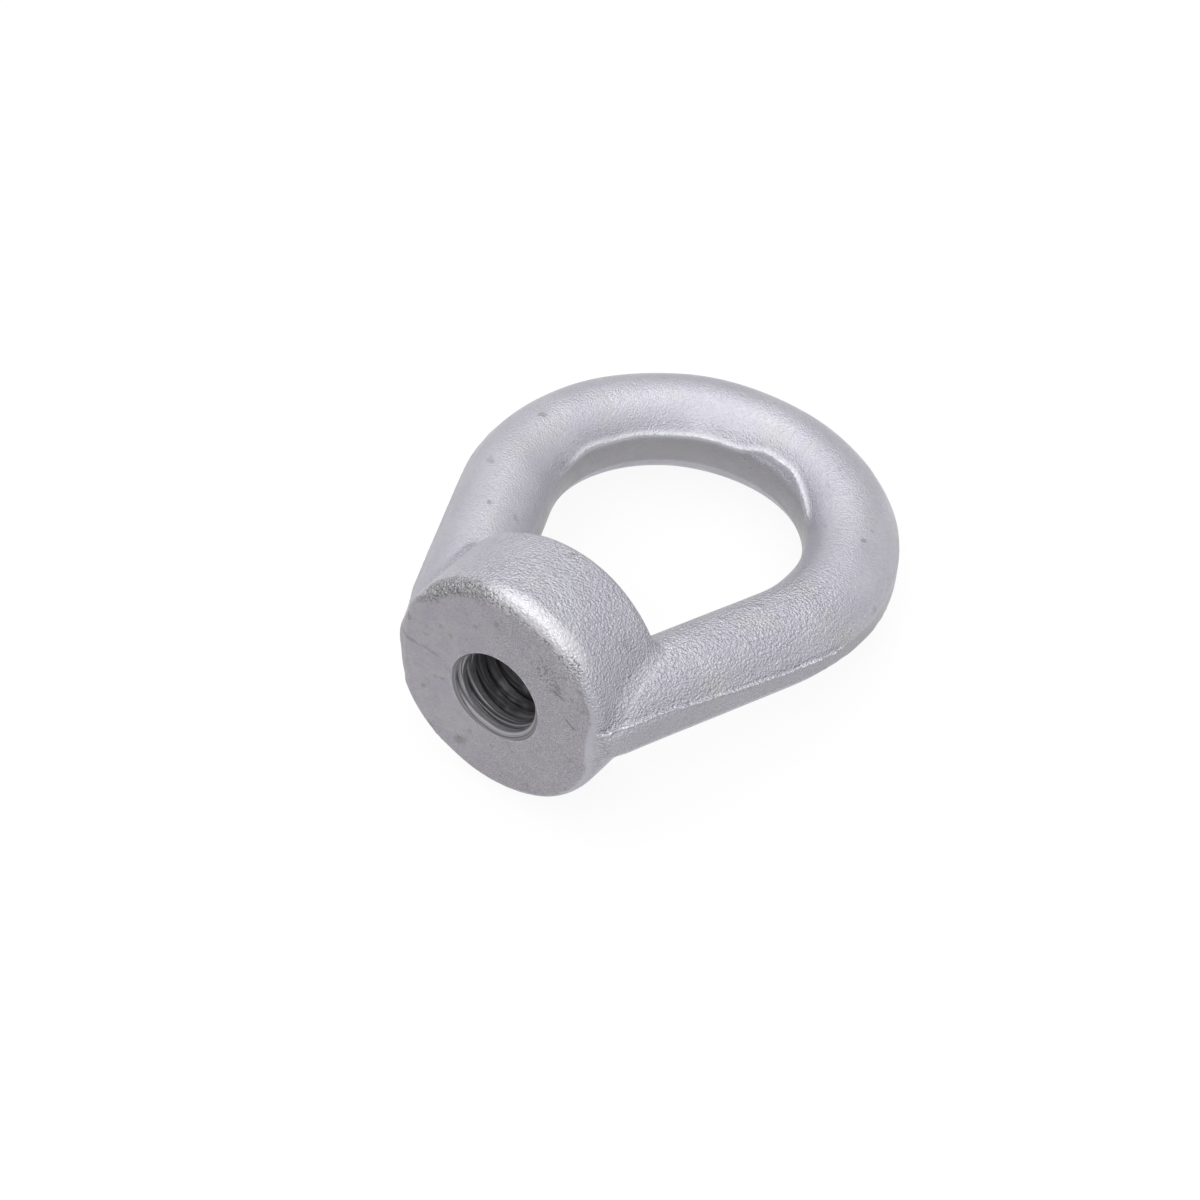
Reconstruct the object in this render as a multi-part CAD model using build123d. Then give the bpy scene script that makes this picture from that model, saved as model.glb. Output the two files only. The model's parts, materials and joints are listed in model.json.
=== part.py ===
from build123d import *
import math
import os

# Lifting eye nut: one drop forging, a round threaded boss with an oval eye on top of it.
# It is modelled upright in the die, with the thread's axis along Y and the eye's plane in XY,
# so that XY is also the plane where the two dies part. Then it is laid down on its side,
# as it comes to rest: on the boss's rear edge and the underside of the eye's far end.

# Boss
boss_dia = 38.4
boss_length = 18.1
front_draft = 3.5
front_round = 2.4
rear_round = 2.2

# Thread 5/8-11 UNC: the bore is at the thread's minor diameter
thread_minor_dia = 13.9
mouth_dia = 16.2
countersink_angle = 45.0

# Bar of the eye, round in section
bar_dia = 15.25

# Eye: the bar's centre line is a crown arc, two shoulder arcs and two straight legs
crown_radius = 28.0
crown_half_angle = 48.0
shoulder_radius = 27.6
arch_centre_y = 48.8
leg_angle = 21.2
foot_y = 9.8

# Blend between the boss and the legs, along the edges that touch both
junction_round = 3.2
touching_gap = 0.002
sampled_fractions = (0.35, 0.7)

# Flash land: the metal squeezed out between the dies is sheared off upright, which leaves a
# band that stands a little proud of the bar, outside and inside the eye, and of the boss
outer_land_offset = 7.8
inner_land_offset = 7.4
outer_land_top = 2.4
inner_land_top = 3.2
land_bottom = 2.4
boss_land_proud = 0.6
land_start_y = 1.2
eye_corner_round = 3.0

# Places that follow from the sizes
boss_radius = boss_dia / 2
leg_rad = math.radians(leg_angle)
crown_rad = math.radians(crown_half_angle)
centre_shift = crown_radius - shoulder_radius
shoulder_centre = (
    centre_shift * math.sin(crown_rad),
    arch_centre_y + centre_shift * math.cos(crown_rad),
)
shoulder_sweep = 90 + leg_angle - crown_half_angle


def half_outline(offset, end_y):
    """Right half of the bar's line, moved outwards by offset: crown, shoulder and leg down to end_y."""
    crown = CenterArc((0, arch_centre_y), crown_radius + offset, 90, -crown_half_angle)
    shoulder = CenterArc(
        shoulder_centre, shoulder_radius + offset, 90 - crown_half_angle, -shoulder_sweep
    )
    top = shoulder @ 1
    length = (top.Y - end_y) / math.cos(leg_rad)
    leg = Line(top, top - Vector(math.sin(leg_rad), math.cos(leg_rad)) * length)
    return [crown, shoulder, leg]


def outline_face(offset, end_y):
    """Closed outline of both halves, with a straight edge across at end_y."""
    half = half_outline(offset, end_y)
    other_half = [mirror(edge, Plane.YZ) for edge in half]
    base = Line(half[-1] @ 1, other_half[-1] @ 1)
    return make_face(half + [base] + other_half)


def make_boss():
    """Round boss with a rounded rim at each end."""
    profile = Pos(boss_radius / 2, boss_length / 2) * Rectangle(boss_radius, boss_length)
    front_corner, rear_corner = profile.vertices().group_by(Axis.X)[-1].sort_by(Axis.Y)
    profile = fillet(front_corner, front_round)
    rear_corner = profile.vertices().sort_by_distance(rear_corner)[0]
    return revolve(fillet(rear_corner, rear_round), Axis.Y)


def slope_face(body):
    """Slope the boss's front face back from the parting plane, so that it leaves both dies."""
    slope = boss_radius * math.tan(math.radians(front_draft))
    beyond_face = Plane.YZ * Polygon(
        (0, 0),
        (slope, boss_radius),
        (-boss_radius, boss_radius),
        (-boss_radius, -boss_radius),
        (slope, -boss_radius),
        align=None,
    )
    return body - extrude(beyond_face, boss_radius, both=True)


def make_loop():
    """Bar of the eye, with ball ends that sink into the boss."""
    path = Wire(half_outline(0, foot_y))
    start = Plane(path @ 0, x_dir=(0, 0, 1), z_dir=path % 0)
    half = sweep(start * Circle(bar_dia / 2), path=path)
    half += Pos(*(path @ 1)) * Sphere(bar_dia / 2)
    return half + mirror(half, Plane.YZ)


def junction_edges(body, boss, loop):
    """Edges of the fused body that lie on the boss and on the bar at once."""
    def lies_on(shape, edge):
        points = [edge @ fraction for fraction in sampled_fractions]
        return all(
            min(face.distance_to(point) for face in shape.faces()) < touching_gap
            for point in points
        )

    return [edge for edge in body.edges() if lies_on(boss, edge) and lies_on(loop, edge)]


def bore_tool():
    """Thread's core hole, with a countersunk mouth at each end."""
    core_radius = thread_minor_dia / 2
    mouth_radius = mouth_dia / 2
    depth = (mouth_radius - core_radius) / math.tan(math.radians(countersink_angle))
    outside_radius = 2 * mouth_radius - core_radius
    profile = Plane.XY * Polygon(
        (0, -depth),
        (outside_radius, -depth),
        (core_radius, depth),
        (core_radius, boss_length - depth),
        (outside_radius, boss_length + depth),
        (0, boss_length + depth),
        align=None,
    )
    return revolve(profile, Axis.Y)


def eye_punch():
    """Outline that is punched out of the eye, with round corners beside the boss."""
    inside = outline_face(-inner_land_offset, boss_length - rear_round)
    return fillet(inside.vertices().sort_by(Axis.Y)[:2], eye_corner_round)


def land_plate(outline, top_z):
    """Flat plate at the parting plane, up to top_z above it and down to the land's bottom."""
    return Pos(0, 0, -land_bottom) * extrude(outline, land_bottom + top_z)


def add_land(body):
    """Band that the shear leaves around the bar, inside the eye and along the boss's sides."""
    middle = outline_face(0, foot_y)
    boss_outline = Pos(0, land_start_y) * Rectangle(
        boss_dia + 2 * boss_land_proud,
        boss_length - rear_round - land_start_y,
        align=(Align.CENTER, Align.MIN),
    )
    outer_band = outline_face(outer_land_offset, land_start_y) + boss_outline - middle
    inner_band = middle - eye_punch()
    return body + land_plate(outer_band, outer_land_top) + land_plate(inner_band, inner_land_top)


def rest_tilt():
    """Angle between the eye's plane and the floor, from the boss's rear edge and the crown's bar."""
    run = arch_centre_y + crown_radius - (boss_length - rear_round)
    rise = boss_radius - rear_round
    drop = bar_dia / 2 - rear_round
    return math.degrees(math.atan2(rise, run) - math.asin(drop / math.hypot(run, rise)))


def lay_down(body):
    """Turn the forging on its side and set it on z = 0, centred on the origin."""
    laid = Rot(X=-rest_tilt()) * body
    box = laid.bounding_box()
    return Pos(-box.center().X, -box.center().Y, -box.min.Z) * laid


boss = make_boss()
loop = make_loop()
forging = boss + loop
forging = forging.fillet(junction_round, junction_edges(forging, boss, loop))
forging = slope_face(add_land(forging))
forging -= bore_tool()
eye_nut = lay_down(forging)

os.makedirs("parts", exist_ok=True)
export_step(eye_nut, "parts/eye_nut.step")
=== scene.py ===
import json
import math

import bpy
from mathutils import Matrix, Vector, noise


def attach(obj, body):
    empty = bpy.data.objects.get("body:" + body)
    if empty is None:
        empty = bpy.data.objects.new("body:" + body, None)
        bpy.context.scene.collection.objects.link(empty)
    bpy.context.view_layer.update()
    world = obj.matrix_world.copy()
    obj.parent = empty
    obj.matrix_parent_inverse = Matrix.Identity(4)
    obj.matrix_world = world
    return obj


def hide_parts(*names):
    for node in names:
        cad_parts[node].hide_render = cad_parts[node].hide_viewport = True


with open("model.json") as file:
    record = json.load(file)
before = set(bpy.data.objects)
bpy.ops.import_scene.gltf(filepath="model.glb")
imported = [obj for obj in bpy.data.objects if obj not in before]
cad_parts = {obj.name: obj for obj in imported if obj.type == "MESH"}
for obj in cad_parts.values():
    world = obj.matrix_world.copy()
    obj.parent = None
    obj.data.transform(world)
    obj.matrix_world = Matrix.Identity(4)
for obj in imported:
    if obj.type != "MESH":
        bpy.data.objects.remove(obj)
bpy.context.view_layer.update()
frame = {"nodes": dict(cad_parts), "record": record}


# Camera
# A long lens looks down on the nut's open thread, which faces left and towards the viewer.
camera_place = Vector((0.22354, -0.31072, 0.48362))
camera_aim = Vector((-0.00151, -0.01108, 0.01363))
camera_roll = math.radians(-1.775)

camera_data = bpy.data.cameras.new("camera")
camera_data.lens = 115.2
camera_data.sensor_width = 36.0
camera_data.clip_start = 0.05
camera_data.clip_end = 20.0
camera = bpy.data.objects.new("camera", camera_data)
bpy.context.collection.objects.link(camera)
facing = (camera_aim - camera_place).to_track_quat("-Z", "Y").to_matrix().to_4x4()
rolled = Matrix.Rotation(camera_roll, 4, "Z")
camera.matrix_world = Matrix.Translation(camera_place) @ facing @ rolled
bpy.context.scene.camera = camera


# Forged body of the eye nut
# One drop forging of carbon steel: a round boss with a hole along its axis, and an oval eye of
# round bar on top. The two dies part in the plane of the eye, and the flash that squeezes out
# there is sheared off, which leaves a flat land and a thin burr all the way round.
mm = 0.001
boss_length = 18.1 * mm
boss_radius = 19.2 * mm
mouth_radius = 8.1 * mm
eye_centre_y = 48.8 * mm
skin_voxel = 0.5 * mm
# A surface counts as a wall where its normal's z, up or down, is less than this.
wall_limit = 0.93

# The nut is worked on upright: y along the thread's axis into the eye, z square to the eye.
thread_mount = frame["record"]["mounts"][0]
thread_out = Vector(thread_mount["axis"]).normalized()
across = Vector((1, 0, 0))
upright = Matrix((across, -thread_out, across.cross(-thread_out))).transposed().to_4x4()
upright.translation = Vector(thread_mount["pos_m"]) + thread_out * boss_length / 2

bpy.ops.object.select_all(action="DESELECT")
nut = bpy.data.objects.new("galvanised_eye_nut", frame["nodes"]["eye_nut"].data.copy())
bpy.context.collection.objects.link(nut)
nut.data.materials.clear()
nut.data.transform(upright.inverted())
nut.select_set(True)
bpy.context.view_layer.objects.active = nut

bpy.ops.object.mode_set(mode="EDIT")
bpy.ops.mesh.select_all(action="SELECT")
bpy.ops.mesh.remove_doubles(threshold=0.001 * mm)
bpy.ops.mesh.select_all(action="DESELECT")
bpy.ops.object.mode_set(mode="OBJECT")


def select_faces(piece, wanted):
    """Opens a piece in edit mode with only those faces selected that wanted is true of."""
    bpy.ops.object.mode_set(mode="EDIT")
    bpy.ops.mesh.select_mode(type="FACE")
    bpy.ops.mesh.select_all(action="DESELECT")
    bpy.ops.object.mode_set(mode="OBJECT")
    for face in piece.data.polygons:
        face.select = wanted(face)
    bpy.ops.object.mode_set(mode="EDIT")


def in_hole(face):
    """Whether a face belongs to the hole or to one of its countersunk mouths."""
    corners = [nut.data.vertices[corner].co for corner in face.vertices]
    return all(
        math.hypot(co.x, co.z) < mouth_radius + 0.5 * mm and co.y < boss_length + 0.01 * mm
        for co in corners
    )


# The hole is closed while the skin is made, and cut again afterwards with its thread.
select_faces(nut, in_hole)
bpy.ops.mesh.delete(type="FACE")
bpy.ops.mesh.select_mode(type="EDGE")
bpy.ops.mesh.select_all(action="DESELECT")
bpy.ops.mesh.select_non_manifold()
bpy.ops.mesh.fill_holes(sides=0)
bpy.ops.object.mode_set(mode="OBJECT")


def apply_modifier(piece, name, kind, **settings):
    """Adds a modifier with its settings to a piece and applies it."""
    modifier = piece.modifiers.new(name, kind)
    for setting, value in settings.items():
        setattr(modifier, setting, value)
    bpy.ops.object.modifier_apply(modifier=modifier.name)


apply_modifier(nut, "skin", "REMESH", mode="VOXEL", voxel_size=skin_voxel)
apply_modifier(nut, "soften", "SMOOTH", factor=0.5, iterations=3)


def ramp(value, low, high):
    """Smooth step from 0 at low to 1 at high, also where high is the smaller."""
    share = min(1.0, max(0.0, (value - low) / (high - low)))
    return share * share * (3 - 2 * share)


def on_boss(co):
    """How far a place counts as the boss's side: 1 on it, 0 on the bar of the eye."""
    radial = math.hypot(co.x, co.z)
    return ramp(co.y, boss_length + 1.5 * mm, boss_length - 1 * mm) * ramp(
        radial, boss_radius + 1.8 * mm, boss_radius + 0.3 * mm
    )


def is_outside(co, normal):
    """Whether a place faces out of the eye, and not into it."""
    return normal.x * co.x + normal.y * (co.y - eye_centre_y) > 0


def burr_line(co, normal):
    """Height of the burr beside a place; it steps up near the middle of the crown, inside."""
    if is_outside(co, normal):
        height = 2.7 * mm - 1.7 * mm * ramp(co.y, 6 * mm, 42 * mm)
    else:
        height = 3 * mm + 1.5 * mm * ramp(co.x, -3 * mm, 4 * mm) * ramp(co.x, 19 * mm, 7 * mm)
    return height + 0.35 * mm * noise.noise(Vector((co.x, co.y, height)) / (6 * mm))


def bar_only(co):
    """1 on the bar of the eye and its flash, 0 on the boss."""
    return max(1 - on_boss(co), (co.x > 0) * ramp(abs(co.z), 4 * mm, 3.4 * mm))


def outer_band(co, normal):
    """Strip above and below the outer burr, where the step of the flash has worn soft."""
    wall = is_outside(co, normal) and abs(normal.z) < wall_limit
    return wall * ramp(abs(co.z - 1.7 * mm), 2.3 * mm, 1.7 * mm) * bar_only(co)


def inner_band(co, normal):
    """Strip above and below the inner burr, where the step of the flash has almost gone."""
    wall = not is_outside(co, normal) and abs(normal.z) < wall_limit
    top = burr_line(co, normal) + 1.8 * mm
    return wall * ramp(co.z, 0.9 * mm, 1.6 * mm) * ramp(co.z, top, top - 0.6 * mm) * bar_only(co)


def jagged(co, size):
    """Torn edge: how far it stands up at a place, with teeth of about the given size."""
    return abs(noise.fractal(Vector((co.x, co.y, 0)) / size, 1.0, 2.0, 3))


def burr(co, normal):
    """Thin ridge on the sheared land's upper edge, sharp outside the eye and soft inside it."""
    if is_outside(co, normal):
        width = 0.17 * mm
        strength = 0.5 + 1.3 * jagged(co, 1.4 * mm)
        strength *= ramp(co.y, 48 * mm, 38 * mm) * ramp(co.x, -30 * mm, 10 * mm)
        strength += 0.7 * ramp(co.y, 8 * mm, 3 * mm)
    else:
        width = 0.42 * mm
        strength = 0.7 + (0.15 + 0.35 * ramp(co.x, 0, 6 * mm)) * jagged(co, 1.6 * mm)
        strength *= ramp(co.y, 40 * mm, 56 * mm) * ramp(co.y - co.x, 44 * mm, 50 * mm)
    ridge = math.exp(-(((co.z - burr_line(co, normal)) / width) ** 2))
    wall = abs(normal.z) < wall_limit
    return wall * ridge * strength * bar_only(co) * ramp(co.y, 0.8 * mm, 1.6 * mm)


def mark(piece, name, strength):
    """Stores a strength, given by a function of place and normal, as an attribute and a group."""
    values = [strength(vertex.co, vertex.normal) for vertex in piece.data.vertices]
    attribute = piece.data.attributes.new(name, "FLOAT", "POINT")
    attribute.data.foreach_set("value", values)
    group = piece.vertex_groups.new(name=name + "_group")
    for index, value in enumerate(values):
        if value > 0.01:
            group.add([index], min(value, 1), "REPLACE")


def crest(co, normal):
    """Upper front edge of the boss, which the die left well rounded."""
    radial = math.hypot(co.x, co.z)
    return ramp(co.z, 6 * mm, 13 * mm) * ramp(radial, 13 * mm, 16 * mm) * ramp(co.y, 7 * mm, 4 * mm)


def boss_flash(co, normal):
    """Flash on the boss's sides, sheared and worn almost flush."""
    radial = math.hypot(co.x, co.z)
    height, reach = (8 * mm, 10 * mm) if co.x < 0 else (5 * mm, 2 * mm)
    side = ramp(abs(co.z), height, height - 1.5 * mm) * ramp(co.y, reach, reach * 0.6)
    return side * ramp(radial, boss_radius - 2.5 * mm, boss_radius - 1 * mm)


def proud_flash(co, normal):
    """Middle of the boss's flash, the part that stands proud of its side."""
    return boss_flash(co, normal) * ramp(abs(co.z), 3.2 * mm, 2.2 * mm)


for name, strength in (
    ("outer_band", outer_band),
    ("inner_band", inner_band),
    ("crest", crest),
    ("boss_flash", boss_flash),
    ("proud_flash", proud_flash),
):
    mark(nut, name, strength)
apply_modifier(
    nut, "taken_down", "DISPLACE", mid_level=0, strength=-0.4 * mm,
    vertex_group="proud_flash_group",
)
for name, passes in (("outer_band", 14), ("inner_band", 28), ("crest", 50), ("boss_flash", 60)):
    apply_modifier(
        nut, "worn", "SMOOTH", factor=0.5, iterations=passes, vertex_group=name + "_group"
    )


def beside_burr(face, width):
    """Whether a face of the bar lies within a width of the burr's line."""
    co = face.center
    steep = abs(face.normal.z) < 0.85 and co.y > 1 * mm
    return steep and abs(co.z - burr_line(co, face.normal)) < width and bar_only(co) > 0.5


def bears_burr(face):
    """Whether a face lies on the outer stretch where the sharp burr has survived."""
    co = face.center
    return is_outside(co, face.normal) and co.x > -28 * mm and co.y < 48 * mm


def at_front_edge(face):
    """Whether a face lies at the boss's upper front edge."""
    co = face.center
    radial = math.hypot(co.x, co.z)
    return co.y < 3.4 * mm and radial > boss_radius - 3.3 * mm and co.z > 2 * mm


# The mesh is made finer where the burr and the boss's front edge need it.
select_faces(nut, lambda face: beside_burr(face, 0.9 * mm) or at_front_edge(face))
bpy.ops.mesh.subdivide(number_cuts=1)
select_faces(nut, lambda face: bears_burr(face) and beside_burr(face, 0.5 * mm))
bpy.ops.mesh.subdivide(number_cuts=1)
bpy.ops.mesh.select_all(action="DESELECT")
bpy.ops.object.mode_set(mode="OBJECT")


def crust(co, normal):
    """Rough scale on the upper front edge of the boss, widest towards the left."""
    angle = math.degrees(math.atan2(co.z, co.x))
    radial = math.hypot(co.x, co.z)
    reach = 1.5 * mm + 2.4 * mm * ramp(angle, 90, 115)
    arc_share = (0.35 + 0.65 * ramp(angle, 92, 112)) * ramp(angle, 15, 35) * ramp(angle, 147, 136)
    return arc_share * ramp(co.y, reach, reach * 0.6) * ramp(radial, 16.6 * mm, 17.6 * mm)


def pebbled(co, normal):
    """Strength of the pebbled skin: full on the boss and the right leg, faint on the crown."""
    boss_share = on_boss(co) * ramp(co.y, 0.3 * mm, 1.5 * mm)
    leg_share = ramp(co.x, 6 * mm, 14 * mm) * ramp(co.y, 56 * mm, 40 * mm) * (1 - on_boss(co))
    return max(boss_share, 0.9 * leg_share, 0.14)


def land(co, normal):
    """The sheared band around the outline, where the skin is plain and duller; outside the eye it
    grows stronger towards the shoulder as painted shade.
    """
    top = burr_line(co, normal)
    below_burr = ramp(co.z, top + 0.2 * mm, top - 0.4 * mm)
    dullness_and_shade = 0.3 + 0.6 * ramp(co.y, 36 * mm, 50 * mm) if is_outside(co, normal) else 1
    return dullness_and_shade * ramp(abs(normal.z), 0.45, 0.2) * below_burr * ramp(co.y, 0.5 * mm, 2 * mm)


def face_share(co, normal):
    """The boss's front face, cut off plain, with a fine grain."""
    lowest = 0.9 - 0.6 * ramp(co.x, 4 * mm, -4 * mm) * ramp(co.z, 12 * mm, 9 * mm)
    return ramp(-normal.y, lowest, lowest + 0.07) * ramp(co.y, 4 * mm, 2.4 * mm)


def rubbed_and_highlight(co, normal):
    """Bright band along the upper front edge, partly wear and partly a painted highlight, with a
    ragged border towards the face.
    """
    angle = math.degrees(math.atan2(co.z, co.x))
    radial = math.hypot(co.x, co.z)
    inner_edge = 16.5 * mm + 0.8 * mm * noise.noise(co / (0.8 * mm))
    arc_share = ramp(angle, 33, 58) * ramp(angle, 110, 88)
    band = ramp(radial, inner_edge, inner_edge + 1 * mm)
    return arc_share * band * ramp(co.y, 4.8 * mm, 2.6 * mm)


for name, strength in (
    ("pebbled", pebbled),
    ("crust", crust),
    ("land", land),
    ("burr", burr),
    ("face", face_share),
    ("rubbed_and_highlight", rubbed_and_highlight),
):
    mark(nut, name, strength)


def uneven(name, size, fineness):
    """A lumpy texture for a Displace modifier, with lumps of about the given size."""
    texture = bpy.data.textures.new(name, "CLOUDS")
    texture.noise_scale = size
    texture.noise_depth = fineness
    return texture


apply_modifier(
    nut, "hammered", "DISPLACE", texture=uneven("hammered", 14 * mm, 1), texture_coords="LOCAL",
    mid_level=0.6, strength=0.22 * mm,
)
apply_modifier(
    nut, "scaly", "DISPLACE", texture=uneven("scaly", 0.45 * mm, 2), texture_coords="LOCAL",
    mid_level=0.5, strength=0.55 * mm, vertex_group="crust_group",
)
apply_modifier(
    nut, "sheared", "DISPLACE", mid_level=0, strength=0.5 * mm, vertex_group="burr_group"
)
nut.vertex_groups.clear()


# Thread
# A right-hand 5/8-11 UNC thread, tapped right through the boss after galvanising, with a
# countersunk mouth at each end. The tap leaves bare steel, darker than the zinc outside.
core_radius = thread_mount["dims"]["r_mm"] * mm
thread_radius = 7.94 * mm
pitch = 25.4 / 11 * mm
flank_angle = math.radians(30)
mouth_depth = mouth_radius - core_radius
drill_sides = 96
turn_steps = 72
overshoot = 3 * mm
# The front mouth is a little wider, and off centre towards the boss's underside.
front_mouth_radius = 8.4 * mm
front_mouth_drift = 0.8 * mm

bpy.ops.object.select_all(action="DESELECT")
bpy.ops.mesh.primitive_cylinder_add(
    vertices=drill_sides, radius=core_radius, depth=boss_length - 2 * mouth_depth
)
drill = bpy.context.active_object
drill.name = "drill"
for end, mouth, drift in ((1, mouth_radius, 0), (-1, front_mouth_radius, front_mouth_drift)):
    select_faces(drill, lambda face: face.normal.z * end > 0.9)
    to_mouth = (0, drift, end * mouth_depth)
    bpy.ops.mesh.extrude_region_move(TRANSFORM_OT_translate={"value": to_mouth})
    flare = mouth / core_radius
    bpy.ops.transform.resize(value=(flare, flare, 1), center_override=(0, drift, 0))
    bpy.ops.mesh.extrude_region_move(TRANSFORM_OT_translate={"value": (0, 0, end * overshoot)})
bpy.ops.mesh.select_all(action="DESELECT")
bpy.ops.object.mode_set(mode="OBJECT")

bpy.ops.mesh.primitive_circle_add(vertices=3, radius=1 * mm)
tap = bpy.context.active_object
tap.name = "tap"
turns = math.ceil(boss_length / pitch) + 2
root_half = pitch / 16
foot_radius = core_radius - 0.25 * mm
foot_half = root_half + (thread_radius - foot_radius) * math.tan(flank_angle)
start_z = -turns * pitch / 2
tooth = ((thread_radius, root_half), (foot_radius, foot_half), (foot_radius, -foot_half))
for vertex, (radius, rise) in zip(tap.data.vertices, tooth):
    vertex.co = (radius, 0, start_z + rise)
apply_modifier(
    tap, "turns", "SCREW", screw_offset=pitch, iterations=turns, steps=turn_steps,
    render_steps=turn_steps, use_merge_vertices=False,
)
bpy.ops.object.mode_set(mode="EDIT")
bpy.ops.mesh.select_mode(type="EDGE")
bpy.ops.mesh.select_all(action="DESELECT")
bpy.ops.mesh.select_non_manifold()
bpy.ops.mesh.fill_holes(sides=0)
bpy.ops.mesh.select_all(action="SELECT")
bpy.ops.mesh.normals_make_consistent(inside=False)
bpy.ops.mesh.select_all(action="DESELECT")
bpy.ops.object.mode_set(mode="OBJECT")

to_axis = Matrix.Translation((0, boss_length / 2, 0)) @ Matrix.Rotation(math.radians(-90), 4, "X")
zinc = bpy.data.materials.new("galvanised_zinc")
tapped_steel = bpy.data.materials.new("tapped_steel")
nut.data.materials.append(zinc)
nut.data.materials.append(tapped_steel)
for cutter in (drill, tap):
    cutter.data.transform(to_axis)
    cutter.data.materials.append(tapped_steel)
bpy.ops.object.select_all(action="DESELECT")
nut.select_set(True)
bpy.context.view_layer.objects.active = nut
for cutter in (drill, tap):
    apply_modifier(
        nut, cutter.name, "BOOLEAN", object=cutter, operation="DIFFERENCE", solver="EXACT",
        material_mode="TRANSFER",
    )
    bpy.data.objects.remove(cutter)
nut.data.transform(upright)
bpy.ops.object.shade_smooth_by_angle(angle=math.radians(38))

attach(nut, "root")
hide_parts("eye_nut")


# Zinc finish
# Hot-dip galvanising with a matte, faintly violet grey skin. It clouds in soft patches and is
# pebbled where the zinc is thick. On the scale of the front edge it is rough, with dark specks.
dull_zinc = (0.39, 0.383, 0.43)
pale_zinc = (0.42, 0.415, 0.455)
neutral_zinc = (0.40, 0.40, 0.395)
dark_fleck = (0.24, 0.235, 0.25)
grey_fleck = (0.34, 0.335, 0.37)
dark_speck = (0.2, 0.195, 0.21)
sheared_zinc_and_shade = (0.315, 0.308, 0.325)
dull_face = (0.322, 0.302, 0.352)
pale_face = (0.347, 0.334, 0.362)
dark_grain = (0.21, 0.205, 0.215)
pale_grain = (0.46, 0.455, 0.46)
face_blotch = (0.20, 0.20, 0.19)
gouged = (0.13, 0.13, 0.125)
dirty = (0.17, 0.155, 0.17)
dark_crust = (0.12, 0.118, 0.122)
pale_crust = (0.42, 0.418, 0.42)
rub_and_highlight = (0.57, 0.565, 0.59)
chipped_and_edge_shade = (0.14, 0.138, 0.14)
burr_highlight = (0.60, 0.60, 0.63)

zinc.use_nodes = True
nodes, links = zinc.node_tree.nodes, zinc.node_tree.links
zinc_skin = nodes["Principled BSDF"]
zinc_skin.inputs["Metallic"].default_value = 0.8


def add_node(kind, **settings):
    """Adds a node to the material in hand; settings that name one of its inputs set that input."""
    node = nodes.new(kind)
    for name, value in settings.items():
        if name in node.inputs.keys():
            node.inputs[name].default_value = value
        else:
            setattr(node, name, value)
    return node


def noise_at(per_metre, detail, distortion=0.0):
    """Noise on the nut's own coordinates, with about so many cells to the metre."""
    node = add_node("ShaderNodeTexNoise", Scale=per_metre, Detail=detail, Distortion=distortion)
    links.new(place.outputs["Object"], node.inputs["Vector"])
    return node.outputs["Fac"]


def curve(value, low, high, out_low, out_high):
    """Maps a value from low..high to out_low..out_high, with a smooth step."""
    node = add_node("ShaderNodeMapRange", interpolation_type="SMOOTHSTEP")
    for socket, number in zip(node.inputs[1:5], (low, high, out_low, out_high)):
        socket.default_value = number
    links.new(value, node.inputs["Value"])
    return node.outputs["Result"]


def maths(operation, first, second):
    """Result of a maths node; the second term is a socket or a number."""
    node = add_node("ShaderNodeMath", operation=operation)
    links.new(first, node.inputs[0])
    if isinstance(second, (int, float)):
        node.inputs[1].default_value = second
    else:
        links.new(second, node.inputs[1])
    return node.outputs["Value"]


def blend(share, first, second):
    """Colour that goes from the first to the second as share goes from 0 to 1."""
    node = add_node("ShaderNodeMix", data_type="RGBA")
    links.new(share, node.inputs["Factor"])
    for socket, source in ((node.inputs["A"], first), (node.inputs["B"], second)):
        if isinstance(source, tuple):
            socket.default_value = (*source, 1)
        else:
            links.new(source, socket)
    return node.outputs["Result"]


def stored(name):
    """Strength of one of the nut's marks."""
    return add_node("ShaderNodeAttribute", attribute_name=name).outputs["Fac"]


def along(direction):
    """Distance from the middle of the nut's front face, measured along a direction."""
    start = upright.translation.dot(direction)
    node = add_node("ShaderNodeVectorMath", operation="DOT_PRODUCT")
    links.new(place.outputs["Object"], node.inputs[0])
    node.inputs[1].default_value = direction
    return maths("SUBTRACT", node.outputs["Value"], start)


def dent(right, up, length, width, turn, up_axis=2):
    """Soft-edged mark of a length and width in millimetres, turned in degrees. It is placed to the
    right of and up from the middle of the front face, or along the eye where up_axis is 1."""
    cosine, sine = math.cos(math.radians(turn)), math.sin(math.radians(turn))
    offsets = []
    for share_right, share_up, size in ((cosine, sine, length), (-sine, cosine, width)):
        direction = upright.col[0].xyz * share_right + upright.col[up_axis].xyz * share_up
        middle = (right * share_right + up * share_up) * mm
        offset = maths("SUBTRACT", along(direction), middle)
        offsets.append(maths("POWER", maths("DIVIDE", offset, size / 2 * mm), 2))
    rough_edge = curve(noise_at(2500, 2), 0.3, 0.7, -0.5, 0.5)
    return curve(maths("ADD", maths("ADD", *offsets), rough_edge), 0.4, 1.3, 1, 0)


def dents(*marks):
    """Several marks, each given as dent takes it, as one strength."""
    strongest = dent(*marks[0])
    for one_mark in marks[1:]:
        strongest = maths("MAXIMUM", strongest, dent(*one_mark))
    return strongest


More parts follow.
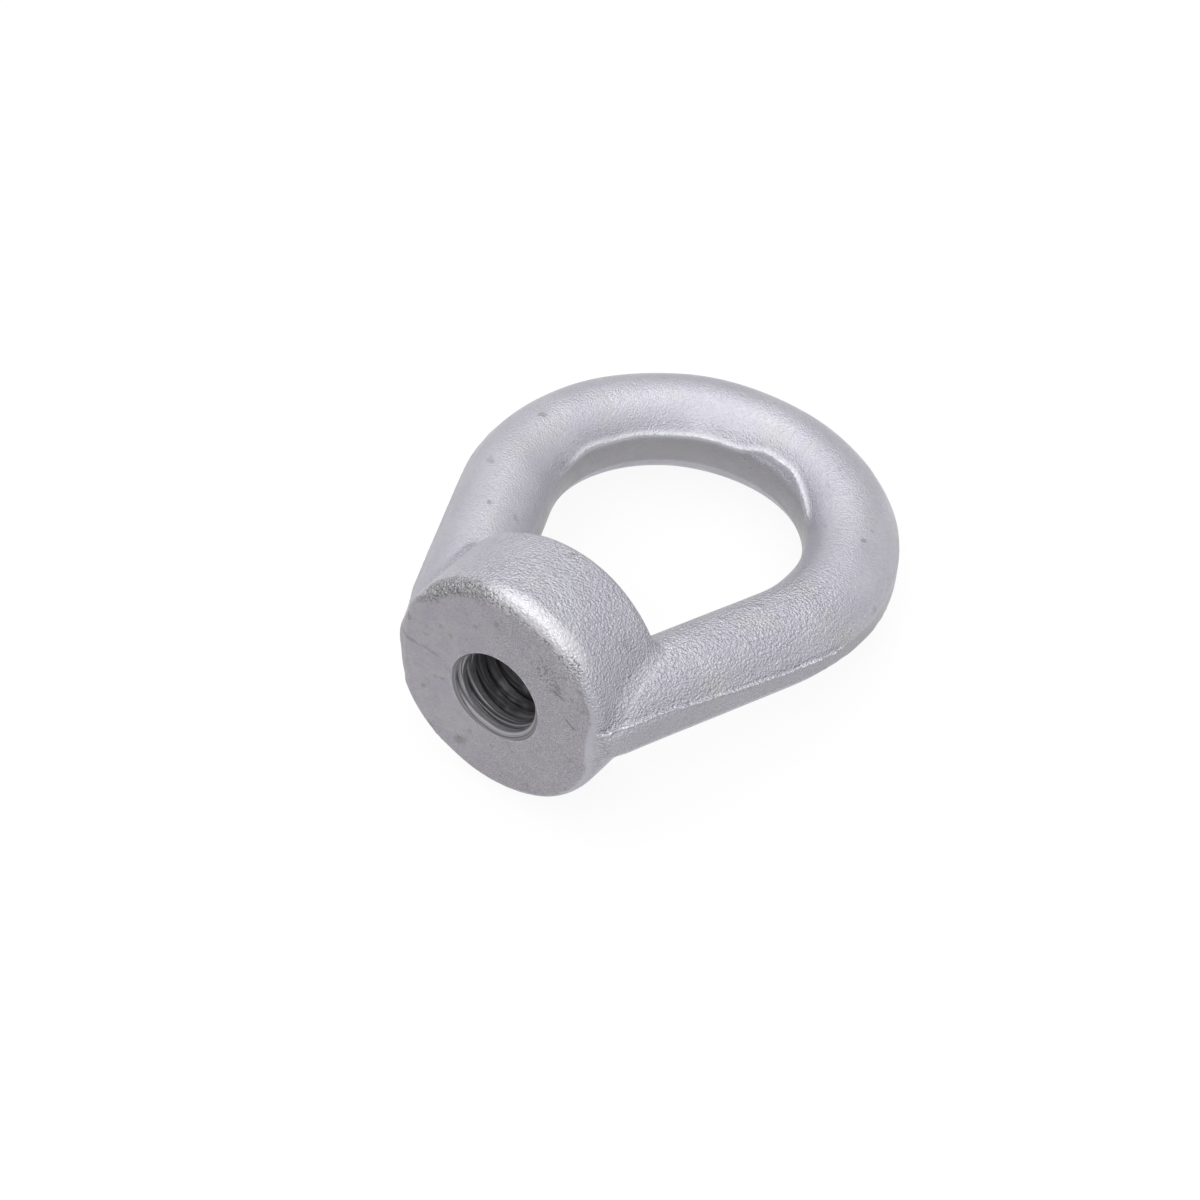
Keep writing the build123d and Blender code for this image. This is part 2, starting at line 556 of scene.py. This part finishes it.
# Clouds and flecks of the zinc, with three dark specks on the bar
place = add_node("ShaderNodeTexCoord")
clouds = curve(noise_at(90, 4), 0.35, 0.65, 0, 1)
colour = blend(clouds, dull_zinc, pale_zinc)
colour = blend(curve(noise_at(140, 3), 0.55, 0.75, 0, 0.6), colour, neutral_zinc)
colour = blend(curve(noise_at(230, 3), 0.66, 0.74, 0, 0.55), colour, dark_fleck)
colour = blend(curve(noise_at(1300, 4), 0.5, 0.62, 0, 0.35), colour, grey_fleck)
specks = dents(
    (-28.3, 50.7, 1.7, 1.2, 30, 1),
    (-22.1, 28.0, 1.2, 1.0, 0, 1),
    (27.7, 59.6, 1.0, 0.9, 0, 1),
)
on_top = curve(along(upright.col[2].xyz), 2 * mm, 5 * mm, 0, 0.6)
colour = blend(maths("MULTIPLY", specks, on_top), colour, dark_speck)
# The land is painted duller, and at the outer shoulder darker still as painted shade.
colour = blend(stored("land"), colour, sheared_zinc_and_shade)

# Front face: stained, grainier towards the right, with gouges, a pitted patch and streaks of dirt
stains = curve(noise_at(420, 6, 0.3), 0.35, 0.65, 0, 1)
cut_face = blend(stains, dull_face, pale_face)
grainy = curve(along(across), -6 * mm, 2 * mm, 0.35, 1)
hollows = maths("MULTIPLY", curve(noise_at(5200, 1), 0.44, 0.62, 0, 0.75), grainy)
cut_face = blend(hollows, cut_face, dark_grain)
glints = maths("MULTIPLY", curve(noise_at(4400, 1), 0.54, 0.68, 0, 0.65), grainy)
cut_face = blend(glints, cut_face, pale_grain)
cut_face = blend(curve(noise_at(600, 3), 0.62, 0.72, 0, 0.6), cut_face, face_blotch)
gouges = dents(
    (11.2, 6.9, 2.6, 0.4, -20),
    (10.6, 8.0, 1.8, 0.4, -30),
    (13.9, 2.7, 2.4, 0.4, -32),
)
pits = maths("MULTIPLY", dent(9.2, 9.2, 6.5, 3.6, -52), curve(noise_at(2400, 2), 0.54, 0.6, 0, 1))
gouges = maths("MAXIMUM", gouges, pits)
dirt = dents(
    (-14.7, 10.9, 4.4, 1.6, 42),
    (-16.4, 2.0, 4.5, 0.8, -3),
    (-12.2, 1.9, 3.6, 0.6, -8),
    (-5.9, -13.7, 3.2, 1.8, 50),
    (-13.2, -6.2, 1.4, 0.9, 60),
)
cut_face = blend(maths("MULTIPLY", gouges, 0.5), cut_face, gouged)
cut_face = blend(maths("MULTIPLY", dirt, 0.45), cut_face, dirty)
colour = blend(stored("face"), colour, cut_face)

# Scale on the front edge, and the worn band along it, partly a painted highlight, with its chipped
# border, partly painted edge shade
speckle = curve(noise_at(3200, 3, 0.5), 0.42, 0.6, 0, 1)
crust_colour = blend(speckle, dark_crust, pale_crust)
colour = blend(maths("MULTIPLY", stored("crust"), 0.68), colour, crust_colour)
wear_and_highlight = stored("rubbed_and_highlight")
# Painted highlight: the band along the upper front edge is painted brighter, partly for wear and
# partly for the edge's highlight.
colour = blend(maths("MULTIPLY", wear_and_highlight, 0.65), colour, rub_and_highlight)
# This is 1 where the worn and highlighted band is at half strength, and 0 where it is absent or
# full.
half_worn = maths("MULTIPLY", wear_and_highlight, maths("SUBTRACT", maths("MULTIPLY", wear_and_highlight, -4), -4))
at_face = curve(along(-thread_out), 1.7 * mm, 2.4 * mm, 1, 0)
border = maths("MULTIPLY", half_worn, at_face)
chips = noise_at(2600, 2)
chipping_and_edge_shade = maths("MULTIPLY", border, curve(chips, 0.5, 0.6, 0, 0.8))
# Painted shade: a dark ragged line along the band's border with the face, partly chips and partly
# the edge's shade.
colour = blend(chipping_and_edge_shade, colour, chipped_and_edge_shade)
# Painted highlight: the burr's ridge is painted brighter along its line.
colour = blend(maths("MULTIPLY", stored("burr"), 0.7), colour, burr_highlight)
links.new(colour, zinc_skin.inputs["Base Color"])

# Relief of the skin, too fine for the mesh
pebble_height = maths("MULTIPLY", stored("pebbled"), curve(wear_and_highlight, 0, 1, 2.2, 0.8))
pebbles = maths("MULTIPLY", noise_at(2400, 1.5), pebble_height)
grain = maths("MULTIPLY", noise_at(3400, 2), curve(stored("face"), 0, 1, 0.55, 0.7))
scale = maths("MULTIPLY", maths("MULTIPLY", noise_at(3000, 3), stored("crust")), 1.2)
height = maths("ADD", maths("ADD", pebbles, grain), scale)
height = maths("ADD", height, maths("MULTIPLY", wear_and_highlight, 0.5))
chip_depth = maths("MULTIPLY", maths("MULTIPLY", chips, border), 1.2)
height = maths("SUBTRACT", height, chip_depth)
gouge_depth = maths("MULTIPLY", maths("MULTIPLY", gouges, stored("face")), 1.5)
height = maths("SUBTRACT", height, gouge_depth)
relief = add_node("ShaderNodeBump", Strength=1.0, Distance=0.25 * mm)
links.new(height, relief.inputs["Height"])
links.new(relief.outputs["Normal"], zinc_skin.inputs["Normal"])
satin = curve(noise_at(300, 3), 0.3, 0.7, 0.33, 0.44)
roughness = maths("SUBTRACT", satin, maths("MULTIPLY", wear_and_highlight, 0.1))
links.new(roughness, zinc_skin.inputs["Roughness"])


# Finish of the thread
# Bare steel as the tap left it, with fine cutting lines around the hole. It is grey at the
# mouths, and darker and streaked further in; the darkening with depth is painted shade.
dark_mouth = (0.14, 0.137, 0.15)
pale_mouth = (0.36, 0.35, 0.37)
dark_line = (0.08, 0.078, 0.085)
pale_line = (0.32, 0.315, 0.33)
dark_streak = (0.065, 0.063, 0.07)
pale_streak = (0.17, 0.165, 0.18)

tapped_steel.use_nodes = True
nodes, links = tapped_steel.node_tree.nodes, tapped_steel.node_tree.links
bare = nodes["Principled BSDF"]
bare.inputs["Metallic"].default_value = 0.8
place = add_node("ShaderNodeTexCoord")
# Depth below the nearer mouth
depth = maths("PINGPONG", along(-thread_out), boss_length / 2)
rings = add_node("ShaderNodeTexNoise", noise_dimensions="1D", Scale=4200.0, Detail=2.0)
wander = maths("MULTIPLY", noise_at(120, 1), 0.3 * mm)
links.new(maths("ADD", depth, wander), rings.inputs["W"])
lines = curve(rings.outputs["Fac"], 0.38, 0.62, 0, 1)
mouth_steel = blend(lines, dark_mouth, pale_mouth)
first_turns = blend(lines, dark_line, pale_line)
# Painted shade: the steel darkens with depth into the hole.
steel = blend(curve(depth, 0.9 * mm, 1.6 * mm, 0, 1), mouth_steel, first_turns)
streaks = curve(noise_at(260, 2), 0.5, 0.66, 0, 0.7)
shaded_inner_steel = blend(streaks, dark_streak, pale_streak)
steel = blend(curve(depth, 2.5 * mm, 6 * mm, 0, 1), steel, shaded_inner_steel)
links.new(steel, bare.inputs["Base Color"])
links.new(curve(noise_at(500, 3), 0.3, 0.7, 0.5, 0.65), bare.inputs["Roughness"])
relief = add_node("ShaderNodeBump", Strength=1.0, Distance=0.15 * mm)
links.new(rings.outputs["Fac"], relief.inputs["Height"])
links.new(relief.outputs["Normal"], bare.inputs["Normal"])


# Floor and studio
# A white floor that keeps the nut's own soft shadow, under one wide soft box and a small key
# lamp, with weaker boxes in front, behind and on each side. The room dims towards the horizon.
bpy.ops.mesh.primitive_plane_add(size=6.0, location=(0, 0, 0))
floor = bpy.context.active_object
floor.name = "floor"
floor_paint = bpy.data.materials.new("white_floor")
floor_paint.use_nodes = True
nodes, links = floor_paint.node_tree.nodes, floor_paint.node_tree.links
floor_skin = nodes["Principled BSDF"]
floor_skin.inputs["Base Color"].default_value = (0.8, 0.8, 0.8, 1)
floor_skin.inputs["Roughness"].default_value = 0.9
floor_light_pool = add_node("ShaderNodeEmission")
distance = add_node("ShaderNodeVectorMath", operation="LENGTH")
links.new(add_node("ShaderNodeTexCoord").outputs["Object"], distance.inputs[0])
# Painted pool of light: the floor's glow is full white within 0.2 m of its middle and fades to 0.6
# at 0.8 m.
links.new(curve(distance.outputs["Value"], 0.2, 0.8, 1.0, 0.6), floor_light_pool.inputs["Strength"])
ray = add_node("ShaderNodeLightPath")
in_view = maths("MAXIMUM", ray.outputs["Is Camera Ray"], ray.outputs["Is Glossy Ray"])
in_view = maths("MAXIMUM", in_view, ray.outputs["Is Transmission Ray"])
paint = add_node("ShaderNodeMixShader")
links.new(maths("MULTIPLY", in_view, 0.9), paint.inputs["Fac"])
links.new(floor_skin.outputs["BSDF"], paint.inputs[1])
links.new(floor_light_pool.outputs["Emission"], paint.inputs[2])
links.new(paint.outputs["Shader"], nodes["Material Output"].inputs["Surface"])
floor.data.materials.append(floor_paint)

world = bpy.data.worlds.new("studio")
bpy.context.scene.world = world
world.use_nodes = True
nodes, links = world.node_tree.nodes, world.node_tree.links
room = nodes["Background"]
upwards = add_node("ShaderNodeSeparateXYZ")
links.new(add_node("ShaderNodeTexCoord").outputs["Generated"], upwards.inputs["Vector"])
links.new(curve(upwards.outputs["Z"], 0.0, 0.8, 0.8, 1.0), room.inputs["Strength"])
room.inputs["Color"].default_value = (1, 1, 1, 1)


def soft_box(name, position, size, watts):
    """A square area lamp that faces the nut."""
    lamp = bpy.data.lights.new(name, "AREA")
    lamp.size = size
    lamp.energy = watts
    box = bpy.data.objects.new(name, lamp)
    box.location = position
    box.rotation_euler = (-Vector(position)).to_track_quat("-Z", "Y").to_euler()
    bpy.context.collection.objects.link(box)


soft_box("soft_box_above", (-0.12, 0.02, 0.7), 1.3, 4.3)
soft_box("key_above", (-0.15, 0.4, 0.75), 0.35, 0.8)
soft_box("soft_box_front", (0.12, -0.75, 0.9), 0.4, 1.6)
soft_box("soft_box_left", (-0.8, 0.3, 0.4), 0.6, 0.8)
soft_box("soft_box_back", (0.55, 0.7, 0.28), 0.5, 0.65)
soft_box("soft_box_right", (0.6, -0.5, 0.45), 0.5, 0.7)


bpy.context.scene.view_settings.view_transform = "Standard"
